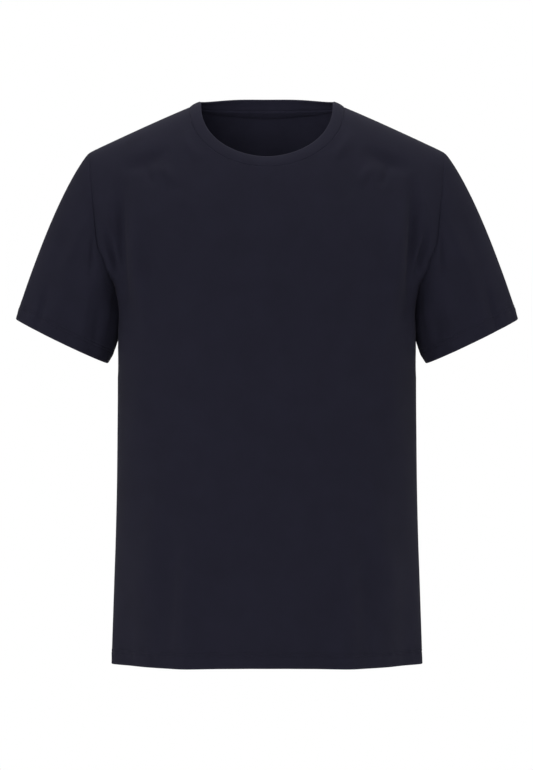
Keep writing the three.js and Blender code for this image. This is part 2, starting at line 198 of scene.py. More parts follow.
BACK_FOLDS = [
    # from the armholes over the shoulder blades
    (178, -112, 180, -226, 2, 6.5, -4.0, 0.9),
    (166, -125, 158, -262, 4, 8.5, 2.8, 1.1),
    (196, -120, 186, -212, -2, 5, 2.2, 0.8),
    (140, -150, 112, -280, 6, 12, 1.8, 0.75),
    # under the shoulders and the neck
    (170, -70, 118, -60, -3, 9, -1.6, 1.1),
    (96, -28, 70, -70, 4, 8, 1.3, 0.9),
    (0, -40, 0, -105, 0, 16, -1.0, 1),
    # in the small of the back, then down to the hem
    (62, -360, 104, -470, -6, 15, -2.4, 0.85),
    (88, -350, 140, -480, -8, 13, 2.0, 1.1),
    (70, -450, 84, -770, 7, 14, 3.4, 0.9),
    (118, -440, 132, -780, -6, 14, -3.0, 1.05),
    (30, -480, 22, -760, 0, 15, -2.6, 0.8),
    (156, -470, 164, -700, 4, 13, 2.2, 0.85),
    (0, -420, 0, -780, 0, 14, 2.0, 1),
    (183, -215, 186, -335, 0, 10, 4.4, 1),
]
MIDDLE_BLEND = 20  # over which a panel's two halves pass into each other
# On a sleeve: the line's foot and then its top, each by the turn round from the shoulder (0) to the
# underarm (180), in front of it above zero, and the distance up from the hem, then half width and height.
SLEEVE_FOLDS = [
    (60, -22, 50, 62, 5.5, -3.2),
    (76, -20, 66, 80, 8, 1.7),
    (100, 90, 82, 140, 4, -3.2),
    (48, 58, 40, 150, 8, -1.6),
    (62, 70, 60, 160, 6, 1.4),
    (84, 20, 78, 110, 10, -1.3),
    (112, -20, 104, 90, 8, 1.8),
    (130, -10, 124, 70, 6, -1.8),
    (20, -20, 12, 70, 9, 1.2),
    (180, -12, 170, 74, 26, 2.1),
    (-180, -12, -190, 74, 26, 2.1),
    (-58, -22, -50, 70, 6.5, -2.2),
    (-76, -20, -70, 90, 9, 1.8),
    (-104, 60, -88, 130, 5, -1.6),
    (-46, 60, -38, 150, 9, -1.4),
    (-120, -20, -112, 80, 8, 1.6),
]
SLEEVE_UNEVEN = {"sleeve_left": 1.0, "sleeve_right": 0.88}  # how strongly each sleeve has them
SLEEVE_RADIUS = 60  # for widths across the sleeves' folds
SLEEVE_FADE = 10  # they end this far below the armhole
# The cloth is drawn in along the armholes, most of all at the armpits.
ARMHOLE_PULL = {
    "tip": 0.5,
    "front": 2.2,
    "back": 2.0,
    "armpit": 19,
    "armpit_share": 0.36,
    "reach": 5.4,
    "armpit_reach": 6.4,
    "steepness": 1.2,
    "limit": 40,
}
# Before that, each armhole's line sways toward the middle over the armpit and away from it at the armpit.
ARMHOLE_SWAY = {"inward": 4.5, "at": 0.61, "half_width": 0.055, "outward": 7.5, "from": 0.65, "to": 0.78}
SWAY_REACH = {"reach": 16, "steepness": 2}


# ---- Small maths ----
def lerp(a, b, t):
    return a + (b - a) * t


def smoothstep(x, low, high):
    t = np.clip((x - low) / (high - low), 0, 1)
    return t * t * (3 - 2 * t)


def unit(vectors):
    return vectors / np.maximum(np.linalg.norm(vectors, axis=-1, keepdims=True), 1e-12)


def along(points):
    """Distances along lines of points, from each line's start."""
    steps = np.linalg.norm(np.diff(points, axis=-2), axis=-1)
    return np.concatenate([np.zeros_like(steps[..., :1]), np.cumsum(steps, axis=-1)], axis=-1)


def column(rows, key, z):
    """One column of a table at some heights: a monotone cubic through its rows."""
    zs, values = rows["z"], rows[key]
    slopes = np.diff(values) / np.diff(zs)
    before, after = slopes[:-1], slopes[1:]
    same_way = before * after > 0
    total = np.where(same_way, before + after, 1)
    inner = np.where(same_way, 2 * before * after / total, 0)
    tangents = np.concatenate([slopes[:1], inner, slopes[-1:]])
    at = np.clip(z, zs[0], zs[-1])
    low = np.clip(np.searchsorted(zs, at) - 1, 0, len(zs) - 2)
    span = zs[low + 1] - zs[low]
    t = (at - zs[low]) / span
    return (
        values[low] * (1 + 2 * t) * (1 - t) ** 2
        + span * tangents[low] * t * (1 - t) ** 2
        + values[low + 1] * t * t * (3 - 2 * t)
        + span * tangents[low + 1] * t * t * (t - 1)
    )


def spread(length, head, count, tail):
    """Places along a line: given offsets from its start, even steps, and given offsets from its end."""
    middle = np.linspace(head[-1], length - tail[-1], count + 2)
    return np.concatenate([head[:-1], middle, length - tail[:-1][::-1]])


# ---- The body's form ----
FAN_STEPS = 50  # to a column
HALVINGS = 40
LOWEST_ANGLE = 0.2  # where the halving starts


def ridge(x):
    """The height of the shoulder line."""
    reach = math.hypot(NECK_HALF_WIDTH, NECK_ROUNDING)
    return SHOULDER_SLOPE * (reach - np.hypot(x, NECK_ROUNDING))


def half_breadth(angle, z):
    """How far out the skin is at an angle round from the side, before its middle, and a height."""
    across = np.maximum(np.cos(angle), 0) ** (2 / column(SECTIONS, "middle", z))
    return (
        column(SECTIONS, "half_width", z) * across
        + column(UNDERARM, "flare", z) * across**FLARE_POWER
        - column(UNDERARM, "tuck", z) * np.exp(-((angle / TUCK_SPREAD) ** 2))
    )


def skin(part, angle, z):
    """Points of the body's outer face on +X."""
    x = half_breadth(angle, z)
    rise = np.clip((ridge(x) - z) / (ridge(x) - DOME_BASE[part]), 0, 1)
    dome = np.sqrt(rise * (2 - rise))
    depth = column(SECTIONS, part, z) * np.sin(angle) ** (2 / column(SECTIONS, "side", z)) * dome
    y = SIDE_SEAM_Y + (-depth if part == "front" else depth)
    return np.stack([x, y, z + 0 * x], axis=-1)


def angle_at(x, z):
    """The angle at which the skin is x out at height z, found by halving."""
    low, high = np.full_like(x, LOWEST_ANGLE), np.full_like(x, QUARTER)
    for _ in range(HALVINGS):
        middle = (low + high) / 2
        wide = half_breadth(middle, z) > x
        low, high = np.where(wide, middle, low), np.where(wide, high, middle)
    return (low + high) / 2


TIP_X = np.array([SHOULDER_HALF_WIDTH], float)
TIP_ANGLE = angle_at(TIP_X, ridge(TIP_X))[0]


def top_end(part, i):
    """Where a column ends at the top: on the shoulder seam or the neckline."""
    inward = np.clip(i / SHOULDER_COLUMNS, 0, 1) ** SHOULDER_CROWDING
    shoulder_x = lerp(SHOULDER_HALF_WIDTH, NECK_HALF_WIDTH, inward)
    share = np.clip((i - SHOULDER_COLUMNS) / NECK_COLUMNS, 0, 1)
    turn = QUARTER * (1 - share**NECK_CROWDING)
    on_neck = i > SHOULDER_COLUMNS
    x = np.where(on_neck, NECK_HALF_WIDTH * np.sin(turn), shoulder_x)
    z = np.where(on_neck, -NECK_DROP[part] * np.cos(turn), ridge(shoulder_x))
    return x, z


def fan_table(part):
    """How far round towards the middle each column has come at its top end."""
    i = np.linspace(0, ALL_COLUMNS, FAN_STEPS * ALL_COLUMNS + 1)
    share = (angle_at(*top_end(part, i)) - TIP_ANGLE) / (QUARTER - TIP_ANGLE)
    share[0], share[-1] = 0, 1
    return i, share


FAN = {part: fan_table(part) for part in ("front", "back")}


def edge_angle(part, up):
    """The angle of a panel's edge along the armhole, from the armpit (0) up to the tip (1)."""
    swing = math.radians(ARMHOLE_SWING[part])
    start = swing * np.sin(QUARTER * np.minimum(1, up / SWING_SHARE))
    return np.where(up > 0, start + (TIP_ANGLE - swing) * smoothstep(up, SWING_SHARE, 1), 0)


def panel_points(part, i, level):
    """Points on +X at columns i (0 to 21) and levels: 0 the hem, 1 the armpit, 2 the top."""
    _, end_z = top_end(part, i)
    fan = np.interp(i, *FAN[part])
    even = i / ALL_COLUMNS
    dip = ARMPIT_DIP["depth"] * (1 - np.exp(-i / ARMPIT_DIP["columns"]))

    share = np.clip(level, 0, 1)
    angle = lerp(0, QUARTER, lerp(even, fan, (ARMPIT_LEVEL * share) ** 2))
    hem = -SIDE_LENGTH + HEM_RISE[part] * np.sin(angle) ** HEM_RISE_POWER
    below = angle, lerp(hem, -ARMPIT_DEPTH, share) - dip * share**2

    row = np.clip(level - 1, 0, 1)
    up = lerp((1 - np.cos(math.pi * row)) / 2, row, even)
    edge = edge_angle(part, row)
    above = (
        lerp(edge, QUARTER, lerp(even, fan, lerp(ARMPIT_LEVEL, 1, up) ** 2)),
        lerp(-ARMPIT_DEPTH - dip, end_z, up),
    )
    angle, z = (np.where(level > 1, a, b) for a, b in zip(above, below))
    return skin(part, angle, z)


# ---- Grids: rows of points from the hem up, with their outer face on the same side throughout ----
COLUMN_COUNTS = {"shoulder": 42, "neck": 36}
ROW_COUNTS = {"body": 148, "dome": 74}
ARMPIT_ROW = len(HEM_STEPS) + ROW_COUNTS["body"]
SHOULDER = len(EDGE_STEPS) + COLUMN_COUNTS["shoulder"]  # columns from a side to the neck
SAMPLES, COLUMN_SAMPLES = 121, 161  # along lines that are then divided evenly
NO_STEPS = np.array([0])


def half_panel(part):
    """A half panel from its side to its middle, in even steps of cloth, finer at its seams."""
    levels = np.concatenate([np.linspace(0, 1, SAMPLES), np.linspace(1, 2, SAMPLES)[1:]])
    columns = []
    for first, last, head, count in (
        (0, SHOULDER_COLUMNS, EDGE_STEPS, COLUMN_COUNTS["shoulder"]),
        (SHOULDER_COLUMNS, ALL_COLUMNS, NO_STEPS, COLUMN_COUNTS["neck"]),
    ):
        dense = np.linspace(first, last, COLUMN_SAMPLES)
        lengths = along(panel_points(part, dense[None, :], levels[:, None]))
        columns.append(np.array([np.interp(spread(d[-1], head, count, NO_STEPS), d, dense) for d in lengths]))
    i = np.concatenate([columns[0], columns[1][:, 1:]], axis=1)

    halves = []
    for chosen, head, count, tail in (
        (levels <= 1, HEM_STEPS, ROW_COUNTS["body"], NO_STEPS),
        (levels >= 1, EDGE_STEPS, ROW_COUNTS["dome"], EDGE_STEPS),
    ):
        dense, dense_i = levels[chosen], i[chosen]
        lengths = along(panel_points(part, dense_i, dense[:, None]).swapaxes(0, 1))
        level = [np.interp(spread(d[-1], head, count, tail), d, dense) for d in lengths]
        level_i = [np.interp(places, dense, dense_i[:, c]) for c, places in enumerate(level)]
        halves.append(panel_points(part, np.array(level_i).T, np.array(level).T))
    below, above = halves
    return np.concatenate([below, above[1:]])


def whole_panel(part):
    """Rows run from -X to +X on the front and the other way on the back."""
    half = half_panel(part)
    half[:, -1, 0] = 0
    other = half * (-1, 1, 1)
    leading, trailing = (other, half) if part == "front" else (half, other)
    return np.concatenate([leading, trailing[:, -2::-1]], axis=1)


def normals(grid, closed=False):
    """Unit normals on the outer side of a grid."""
    padded = np.concatenate([grid[:, -1:], grid, grid[:, :1]], axis=1) if closed else grid
    across = np.gradient(padded, axis=1)
    if closed:
        across = across[:, 1:-1]
    return unit(np.cross(across, np.gradient(grid, axis=0)))


def fold_heights(folds, x, z):
    """How far a panel's folds lift its points."""
    height = np.zeros_like(x)
    hand = smoothstep(x, -MIDDLE_BLEND, MIDDLE_BLEND)
    for top_x, top_z, foot_x, foot_z, bow, half_width, most, mirrored in folds:
        run_x, run_z = foot_x - top_x, foot_z - top_z
        run = math.hypot(run_x, run_z)
        from_x, from_z = np.abs(x) - top_x, z - top_z
        share = np.clip((from_x * run_x + from_z * run_z) / run**2, 0, 1)
        swell = np.sin(math.pi * share)
        off = ((from_z * run_x - from_x * run_z) / run - bow * swell) / half_width
        height += most * lerp(mirrored, 1, hand) * swell * np.exp(-(off**2))
    return height


def body():
    """Both panels with their creases, and one line of points where they meet."""
    front, back = whole_panel("front"), whole_panel("back")
    for folds, grid in ((FRONT_FOLDS, front), (BACK_FOLDS, back)):
        lift = fold_heights(folds, grid[..., 0], grid[..., 2])
        grid += normals(grid) * lift[..., None]
    back[: ARMPIT_ROW + 1, 0] = front[: ARMPIT_ROW + 1, -1]
    back[: ARMPIT_ROW + 1, -1] = front[: ARMPIT_ROW + 1, 0]
    back[-1, : SHOULDER + 1] = front[-1, ::-1][: SHOULDER + 1]
    back[-1, -SHOULDER - 1 :] = front[-1, ::-1][-SHOULDER - 1 :]
    return front, back


def armhole_line(front_edge, back_edge, hand):
    """Both edges' points from the shoulder tip round, with the body's outside on the sleeve's."""
    down, up = (front_edge, back_edge) if hand < 0 else (back_edge, front_edge)
    return np.concatenate([down[::-1], up[1:-1]])


def armhole(front, back, hand):
    """An armhole's line of panel points or normals."""
    first, last = (0, -1) if hand < 0 else (-1, 0)
    return armhole_line(front[ARMPIT_ROW:, first], back[ARMPIT_ROW:, last], hand)


def way_down(loop):
    """How far each point of an armhole has come from the shoulder's tip (0) to the armpit (1)."""
    place = np.arange(len(loop)) / (len(loop) // 2)
    return place, np.where(place <= 1, place, 2 - place)


def armhole_sway(loop, hand):
    """How far each point of an armhole moves sideways."""
    _, share = way_down(loop)
    off = (share - ARMHOLE_SWAY["at"]) / ARMHOLE_SWAY["half_width"]
    away = ARMHOLE_SWAY["outward"] * smoothstep(share, ARMHOLE_SWAY["from"], ARMHOLE_SWAY["to"])
    across = away - ARMHOLE_SWAY["inward"] * np.exp(-(off**2))
    return across[:, None] * (hand, 0, 0)


def armhole_pulls(loop, outward, hand):
    """How far each point of an armhole is drawn in, against the way that the cloth faces there."""
    place, share = way_down(loop)
    is_front = (place <= 1) == (hand < 0)
    side = np.where(is_front, ARMHOLE_PULL["front"], ARMHOLE_PULL["back"])
    depth = lerp(ARMHOLE_PULL["tip"], side, smoothstep(share, 0, 0.5))
    to_armpit = smoothstep(share, 1 - ARMHOLE_PULL["armpit_share"], 1)
    depth = lerp(depth, ARMHOLE_PULL["armpit"], to_armpit)
    reach = lerp(ARMHOLE_PULL["reach"], ARMHOLE_PULL["armpit_reach"], to_armpit)
    return -unit(outward) * depth[:, None], reach


LOOP_POINTS = 3  # the nearest ones, which share in a pull
LEAST_DISTANCE = 0.01


def draw_in(grid, loop, pulls, reaches, steepness):
    """Moves a grid's points by the pull at the nearest place on a loop, less with distance."""
    tree = KDTree(len(loop))
    for n, point in enumerate(loop):
        tree.insert(point, n)
    tree.balance()
    flat = grid.reshape(-1, 3)
    limit = ARMHOLE_PULL["limit"]
    near_loop = np.all((flat > loop.min(axis=0) - limit) & (flat < loop.max(axis=0) + limit), axis=1)
    for n in np.nonzero(near_loop)[0]:
        near = tree.find_n(flat[n], LOOP_POINTS)
        weights = np.array([(distance + LEAST_DISTANCE) ** -2 for _, _, distance in near])
        weights /= weights.sum()
        nearest = [k for _, k, _ in near]
        off = near[0][2] / (weights @ reaches[nearest])
        flat[n] += weights @ pulls[nearest] * math.exp(-(off**steepness))


SLEEVE_COUNT = 58


def sleeve(loop, hand):
    """A sleeve in closed rows from its hem up to the armhole, and each point's place on it."""
    lean = math.radians(SLEEVE["lean"])
    axis = np.array([hand * math.sin(lean), 0, -math.cos(lean)])
    outward = np.array([hand * math.cos(lean), 0, math.sin(lean)])
    forward = np.array([0, -1, 0])
    centre = np.array(SLEEVE["hem_centre"]) * (hand, 1, 1)
    lengths = along(np.concatenate([loop, loop[:1]]))
    half, whole = lengths[len(loop) // 2], lengths[-1]
    lengths = lengths[:-1]
    share = np.where(lengths < half, lengths / half, 1 + (lengths - half) / (whole - half))
    turn = math.pi * share[:, None]
    out = np.cos(turn)
    ahead = np.sin(turn) * (1 if hand < 0 else -1)
    hem = (
        centre
        + outward * SLEEVE["hem_half_width"] * out
        + forward * SLEEVE["hem_half_depth"] * ahead
        + axis * SLEEVE["hem_sag"] * ahead
    )
    spread_out = lerp(SLEEVE["underarm_spread"], SLEEVE["overarm_spread"], (1 + out) / 2)
    leave = unit(axis + outward * spread_out * out + forward * SLEEVE["front_spread"] * ahead)
    arrive = unit(axis - outward * SLEEVE["hem_taper"] * out)
    reach = SLEEVE["reach"] * np.linalg.norm(hem - loop, axis=1, keepdims=True)
    knots = np.stack([hem, hem - arrive * reach, loop + leave * reach, loop])

    def bezier(t):
        """Points at t (rows by strands), from the hem up."""
        t = t[..., None]
        weights = ((1 - t) ** 3, 3 * t * (1 - t) ** 2, 3 * t * t * (1 - t), t**3)
        return sum(weight * knot for weight, knot in zip(weights, knots))

    dense = np.linspace(0, 1, SAMPLES)
    distances = along(bezier(np.repeat(dense[:, None], len(loop), axis=1)).swapaxes(0, 1))
    rows = [np.interp(spread(d[-1], HEM_STEPS, SLEEVE_COUNT, EDGE_STEPS), d, dense) for d in distances]
    grid = bezier(np.array(rows).T)
    grid[-1] = loop
    return grid, np.degrees(np.arctan2(ahead[:, 0], out[:, 0]))


def press_sleeve(grid, turns, strength):
    """Lifts a sleeve's cloth by its folds, which fade before the armhole."""
    up = along(grid.swapaxes(0, 1)).T
    fade = strength * smoothstep(up[-1] - up, 0, SLEEVE_FADE)
    around = np.radians(turns)[None, :] * SLEEVE_RADIUS
    lift = np.zeros(up.shape)
    for foot_turn, foot_up, top_turn, top_up, half_width, height in SLEEVE_FOLDS:
        share = (up - foot_up) / (top_up - foot_up)
        swell = np.sin(math.pi * np.clip(share, 0, 1))
        line = np.radians(lerp(foot_turn, top_turn, share)) * SLEEVE_RADIUS
        lift += height * swell * np.exp(-(((around - line) / half_width) ** 2))
    return grid + normals(grid, closed=True) * (lift * fade)[..., None]


def neckband(front, back):
    """The band in closed rows from its seam up to its fold."""
    seam = np.concatenate([front[-1, SHOULDER:-SHOULDER], back[-1, SHOULDER:-SHOULDER][1:-1]])
    away = unit(np.stack([seam[:, 0], seam[:, 1] - NECK_AXIS_Y, 0 * seam[:, 0]], axis=-1))
    is_front = away[:, 1] < 0

    def size(key):
        """A size of the band at each point of its seam."""
        middle = np.where(is_front, BAND["front"][key], BAND["back"][key])
        return lerp(middle, BAND["shoulder"][key], away[:, 0] ** BAND_SIDE_POWER)

    inward, rise = size("inward"), size("up")
    rows = []
    for up in BAND_STEPS / BAND_STEPS[-1]:
        crown = BAND_CROWN * math.sin(math.pi * up)
        lift = rise * up + crown * inward / (inward + rise)
        moved = seam + away * (crown - inward * up)[:, None]
        moved[:, 2] += lift
        rows.append(moved)
    return np.array(rows)


# ---- Shells ----
class Cloth:
    """A piece's grid, with what its shell needs: normals, distances from its edges and sewn edges."""

    def __init__(self, grid, closed, seams=()):
        self.grid = grid
        self.closed = closed
        self.seams = seams
        self.normals = normals(grid, closed)
        self.joined = self.normals.copy()
        self.reach = np.ones(grid.shape[:2])
        self.dip = np.full(grid.shape[:2], SEAM_DIP["depth"])
        from_foot = along(grid.swapaxes(0, 1)).T
        self.edge_distances = {"foot": from_foot, "top": from_foot[-1] - from_foot}
        if not closed:
            from_left = along(grid)
            self.edge_distances["left"] = from_left
            self.edge_distances["right"] = from_left[:, -1:] - from_left


ALL = slice(None)
# Where a grid's edges are, and the lines of points next to them.
EDGE_INDEX = {"foot": (0, ALL), "top": (-1, ALL), "left": (ALL, 0), "right": (ALL, -1)}
NEXT_INDEX = {"foot": (1, ALL), "top": (-2, ALL), "left": (ALL, 1), "right": (ALL, -2)}
RIM_TURNS = (math.pi / 3, math.pi * 2 / 3)  # where a rim's round has its points
RIM_BULGE = math.sin(RIM_TURNS[0])


def mitre(cloth):
    """Sets how many times further the cloth reaches along a seam's bisector than through its thickness."""
    straight = np.sum(unit(cloth.joined) * cloth.normals, axis=-1)
    cloth.reach = 1 / np.maximum(straight, SHARPEST_MITRE)


def join(one, one_at, other, other_at):
    """Adds each piece's normals to the other's along a seam that they share."""
    one_normals = one.normals[one_at].copy()
    other_normals = other.normals[other_at].copy()
    one.joined[one_at] += other_normals
    other.joined[other_at] += one_normals


def at_edge(values, name):
    """An edge's values, spread over the grid so that each point reads the edge nearest along its line."""
    picked = values[EDGE_INDEX[name]]
    return picked[None, :] if name in ("foot", "top") else picked[:, None]


def edge_directions(cloth, name):
    """At each point of an edge, the direction into the piece."""
    points = cloth.grid[EDGE_INDEX[name]]
    if cloth.closed:
        tangents = np.roll(points, -1, axis=0) - np.roll(points, 1, axis=0)
    else:
        tangents = np.gradient(points, axis=0)
    into = unit(np.cross(tangents, cloth.normals[EDGE_INDEX[name]]))
    wrong = np.sum(into * (cloth.grid[NEXT_INDEX[name]] - points), axis=-1, keepdims=True) < 0
    into = np.where(wrong, -into, into)
    return into[None] if name in ("foot", "top") else into[:, None]


def offsets(cloth):
    """Directions through the cloth, which halve the angle at each seam and stretch to its mitre."""
    change = unit(cloth.joined) * cloth.reach[..., None] - cloth.normals
    total = np.zeros(cloth.grid.shape)
    weights = np.zeros(cloth.grid.shape[:2])
    for name in cloth.seams:
        weight = np.clip(1 - cloth.edge_distances[name] / MITRE_SPREAD, 0, 1)
        total += weight[..., None] * at_edge(change, name)
        weights += weight
    return cloth.normals + total / np.maximum(weights, 1)[..., None]


def shell(cloth, thickness, relief, free_edges):
    """Outer and inner faces. Edges draw back by their round rim, and a single layer's seams by half a gap."""
    through = offsets(cloth)
    base = cloth.grid.copy()
    seam_drop = np.zeros(cloth.grid.shape[:2])
    for name in cloth.seams + free_edges:
        distance = cloth.edge_distances[name]
        rim = at_edge(thickness, name) / 2
        if name in cloth.seams:
            rim = rim - at_edge(cloth.dip, name) * (1 - SEAM_DIP["inner_share"]) / 2
            doubled = np.clip((at_edge(thickness, name) - CLOTH) / (HEM["cloth"] - CLOTH), 0, 1)
            rim = rim * RIM_BULGE + SEAM_GAP / 2 * (1 - doubled)
            rim = rim * at_edge(cloth.reach, name)
        pull = rim * np.clip(1 - distance / MITRE_SPREAD, 0, 1)
        base += pull[..., None] * edge_directions(cloth, name)
        if name in cloth.seams:
            dip = at_edge(cloth.dip, name) * np.exp(-((distance / SEAM_DIP["half_width"]) ** 2))
            seam_drop = np.maximum(seam_drop, dip)
    outer = base + through * (relief - seam_drop)[..., None]
    inner = base - through * (thickness + seam_drop * SEAM_DIP["inner_share"])[..., None]
    return outer, inner


def new_object(name, data):
    """An object in the scene."""
    made = bpy.data.objects.new(name, data)
    bpy.context.scene.collection.objects.link(made)
    return made


def new_piece(name, points, faces):
    """A smooth-shaded object, from points in millimetres."""
    mesh = bpy.data.meshes.new(name)
    mesh.from_pydata((np.concatenate(points) * MM).tolist(), [], faces)
    mesh.polygons.foreach_set("use_smooth", np.ones(len(mesh.polygons), bool))
    return new_object(name, mesh)


def rim_loops(rows, columns, closed):
    """The boundary's grid places, in the order in which the outer face goes round."""
    bottom = [(0, i) for i in range(columns)]
    top = [(rows - 1, i) for i in reversed(range(columns))]
    if closed:
        return [bottom, top]
    right = [(j, columns - 1) for j in range(1, rows - 1)]
    left = [(j, 0) for j in reversed(range(1, rows - 1))]
    return [bottom + right + top + left]


def build_mesh(name, cloth, outer, inner, cut, wear, reverse):
    """A closed mesh of two faces and round rims. cut has the place of each quad's sides on the flat cut."""
    rows, columns = outer.shape[:2]
    size = rows * columns
    index = np.arange(size).reshape(rows, columns)
    wrapped = np.concatenate([index, index[:, :1]], axis=1) if cloth.closed else index
    corners = [wrapped[:-1, :-1], wrapped[:-1, 1:], wrapped[1:, 1:], wrapped[1:, :-1]]
    quads = np.stack(corners, axis=-1).reshape(-1, 4)
    faces = [quads, (quads + size)[:, ::-1]]
    left, right = cut
    flat = np.stack([left[:-1], right[:-1], right[1:], left[1:]], axis=2).reshape(-1, 4, 2)
    flats = [flat, flat[:, ::-1]]

    points = [outer.reshape(-1, 3), inner.reshape(-1, 3)]
    marks = [wear.ravel()] * 2
    # The inner face takes the reverse's paler tone: partly its own colour, partly painted light lifting the
    # shade inside.
    reverses = [np.zeros(size), reverse.ravel()]
    flat_at = np.concatenate([left, right[:, -1:]], axis=1)
    count = 2 * size
    for loop in rim_loops(rows, columns, cloth.closed):
        j, i = np.array(loop).T
        top, under = outer[j, i], inner[j, i]
        middle = (top + under) / 2
        across = (top - under) / 2
        tangent = np.roll(middle, -1, axis=0) - np.roll(middle, 1, axis=0)
        round_by = np.linalg.norm(across, axis=1) / cloth.reach[j, i]
        bulge = unit(np.cross(tangent, across)) * round_by[:, None]
        ring = [index[j, i]]
        for turn in RIM_TURNS:
            points.append(middle + across * math.cos(turn) + bulge * math.sin(turn))
            marks.append(wear[j, i])
            reverses.append(reverse[j, i] * turn / math.pi)
            ring.append(count + np.arange(len(loop)))
            count += len(loop)
        ring.append(index[j, i] + size)
        place = flat_at[j, i]
        following = np.roll(place, -1, axis=0)
        for upper, lower in zip(ring, ring[1:]):
            strip = [np.roll(upper, -1), upper, lower, np.roll(lower, -1)]
            faces.append(np.stack(strip, axis=-1))
            flats.append(np.stack([following, place, place, following], axis=1))

    piece = new_piece(name, points, np.concatenate(faces).tolist())
    mesh = piece.data
    layer = mesh.uv_layers.new(name="cut")
    layer.data.foreach_set("uv", (np.concatenate(flats) * MM).astype(np.float32).ravel())
    for label, values in (("wear", marks), ("reverse", reverses)):
        mark = mesh.attributes.new(label, "FLOAT", "POINT")
        mark.data.foreach_set("value", np.concatenate(values).astype(np.float32))
    mesh.update()
    return piece


def flat_cut(cloth):
    """Where each quad's left and right edges lie on the flat cut, in millimetres: across, then up."""
    up = cloth.edge_distances["foot"]
    if not cloth.closed:
        across = (cloth.edge_distances["left"] - cloth.edge_distances["right"]) / 2
        place = np.stack([across, up], axis=-1)
        return place[:, :-1], place[:, 1:]
    lengths = along(np.concatenate([cloth.grid, cloth.grid[:, :1]], axis=1))
    count = cloth.grid.shape[1]
    past = (np.arange(count) >= count // 2) * lengths[:, -1:]
    left, right = lengths[:, :-1] - past, lengths[:, 1:] - past
    return np.stack([left, up], axis=-1), np.stack([right, np.roll(up, -1, axis=1)], axis=-1)


# ---- Stitches ----
STITCH = {"length": 2.5, "gap": 0.8, "radius": 0.24}
STITCH_LIFTS = (-0.3, 0.08, 0.16, 0.08, -0.3)
STITCH_SIDES = 6


def stitch_row(path, out, closed):
    """Rings of points round short raised threads along a line, each sunk in at both ends."""
    if closed:
        path, out = np.concatenate([path, path[:1]]), np.concatenate([out, out[:1]])
    lengths = along(path)
    pitch = STITCH["length"] + STITCH["gap"]
    count = int(lengths[-1] // pitch)
    pitch = lengths[-1] / count
    starts = (np.arange(count) + 0.5) * pitch - STITCH["length"] / 2
    shares = np.linspace(0, 1, len(STITCH_LIFTS))
    places = starts[:, None] + shares[None, :] * STITCH["length"]
    on_line, outward = (
        np.stack([np.interp(places, lengths, values[:, k]) for k in range(3)], axis=-1)
        for values in (path, out)
    )
    outward = unit(outward)
    forward = unit(np.gradient(on_line, axis=1))
    side = np.cross(forward, outward)
    centre = on_line + outward * np.array(STITCH_LIFTS)[None, :, None]
    turns = 2 * math.pi * np.arange(STITCH_SIDES) / STITCH_SIDES
    return (
        centre[:, :, None]
        + STITCH["radius"] * np.cos(turns)[:, None] * side[:, :, None]
        + STITCH["radius"] * np.sin(turns)[:, None] * outward[:, :, None]
    )


def stitches(name, cloth, outer):
    """A hem's two rows of stitches, as one piece."""
    rows = [np.argmin(np.abs(HEM_STEPS - height)) for height in NEEDLES]
    rings = np.concatenate([stitch_row(outer[row], cloth.normals[row], cloth.closed) for row in rows])
    index = np.arange(rings.size // 3).reshape(rings.shape[:3])
    following = np.roll(index, -1, axis=2)
    sides = [index[:, :-1], following[:, :-1], following[:, 1:], index[:, 1:]]
    ends = np.concatenate([index[:, 0, ::-1], index[:, -1]])
    faces = np.stack(sides, axis=-1).reshape(-1, 4).tolist() + ends.tolist()
    return new_piece(name, [rings.reshape(-1, 3)], faces)


# ---- Materials ----
# A stitch's width and height, the slant of its two legs and how much they narrow.
KNIT = {"wale": 0.8, "course": 0.65, "slant": 1.2, "waist": 0.22}
FUZZ_SHARE = {"relief": 0.5, "tone": 0.4}
# The cloth's two tones on each side, between which its yarns vary, and the thread's. The reverse's tones are
# partly the purl side's own paler colour and partly painted light, made paler to lift the shade inside the
# garment.
TONES = {
    "face": ((0.0118, 0.0115, 0.0212, 1), (0.0152, 0.0148, 0.0272, 1)),
    "reverse": ((0.0295, 0.0288, 0.0500, 1), (0.0425, 0.0415, 0.0710, 1)),
    "thread": ((0.0105, 0.0102, 0.0185, 1), (0.0165, 0.0160, 0.0285, 1)),
}
WORN = (0.032, 0.031, 0.05, 1)


def nodes_of(owner):
    """A material's or the world's node tree, emptied."""
    owner.use_nodes = True
    tree = owner.node_tree
    tree.nodes.clear()
    return tree


def add_node(tree, kind, values, **settings):
    """A shader node. Its inputs, by name or number, are set, or linked to another node's output."""
    node = tree.nodes.new("ShaderNode" + kind)
    for name, value in settings.items():
        setattr(node, name, value)
    for name, value in values.items():
        if isinstance(value, bpy.types.NodeSocket):
            tree.links.new(value, node.inputs[name])
        else:
            node.inputs[name].default_value = value
    return node


def math_node(tree, operation, *numbers):
    return add_node(tree, "Math", dict(enumerate(numbers)), operation=operation).outputs[0]


def tone_ramp(tree, blend, tones, positions):
    ramp = add_node(tree, "ValToRGB", {"Fac": blend})
    for element, tone, position in zip(ramp.color_ramp.elements, tones, positions):
        element.color = tone
        element.position = position
    return ramp.outputs["Color"]


def rough_material(name, pattern, roughness, strength, depth, look):
    """A rough surface. pattern makes its colour, its relief and what its roughness follows."""
    material = bpy.data.materials.new(name)
    tree = nodes_of(material)
    color, relief, varied = pattern(tree)
    low, high = roughness
    rough = add_node(tree, "MapRange", {"Value": varied, "To Min": low, "To Max": high})
    bump = add_node(tree, "Bump", {"Strength": strength, "Distance": depth, "Height": relief})
    made = {"Base Color": color, "Roughness": rough.outputs["Result"], "Normal": bump.outputs["Normal"]}
    shader = add_node(tree, "BsdfPrincipled", {**look, **made})
    add_node(tree, "OutputMaterial", {"Surface": shader.outputs["BSDF"]})
    return material


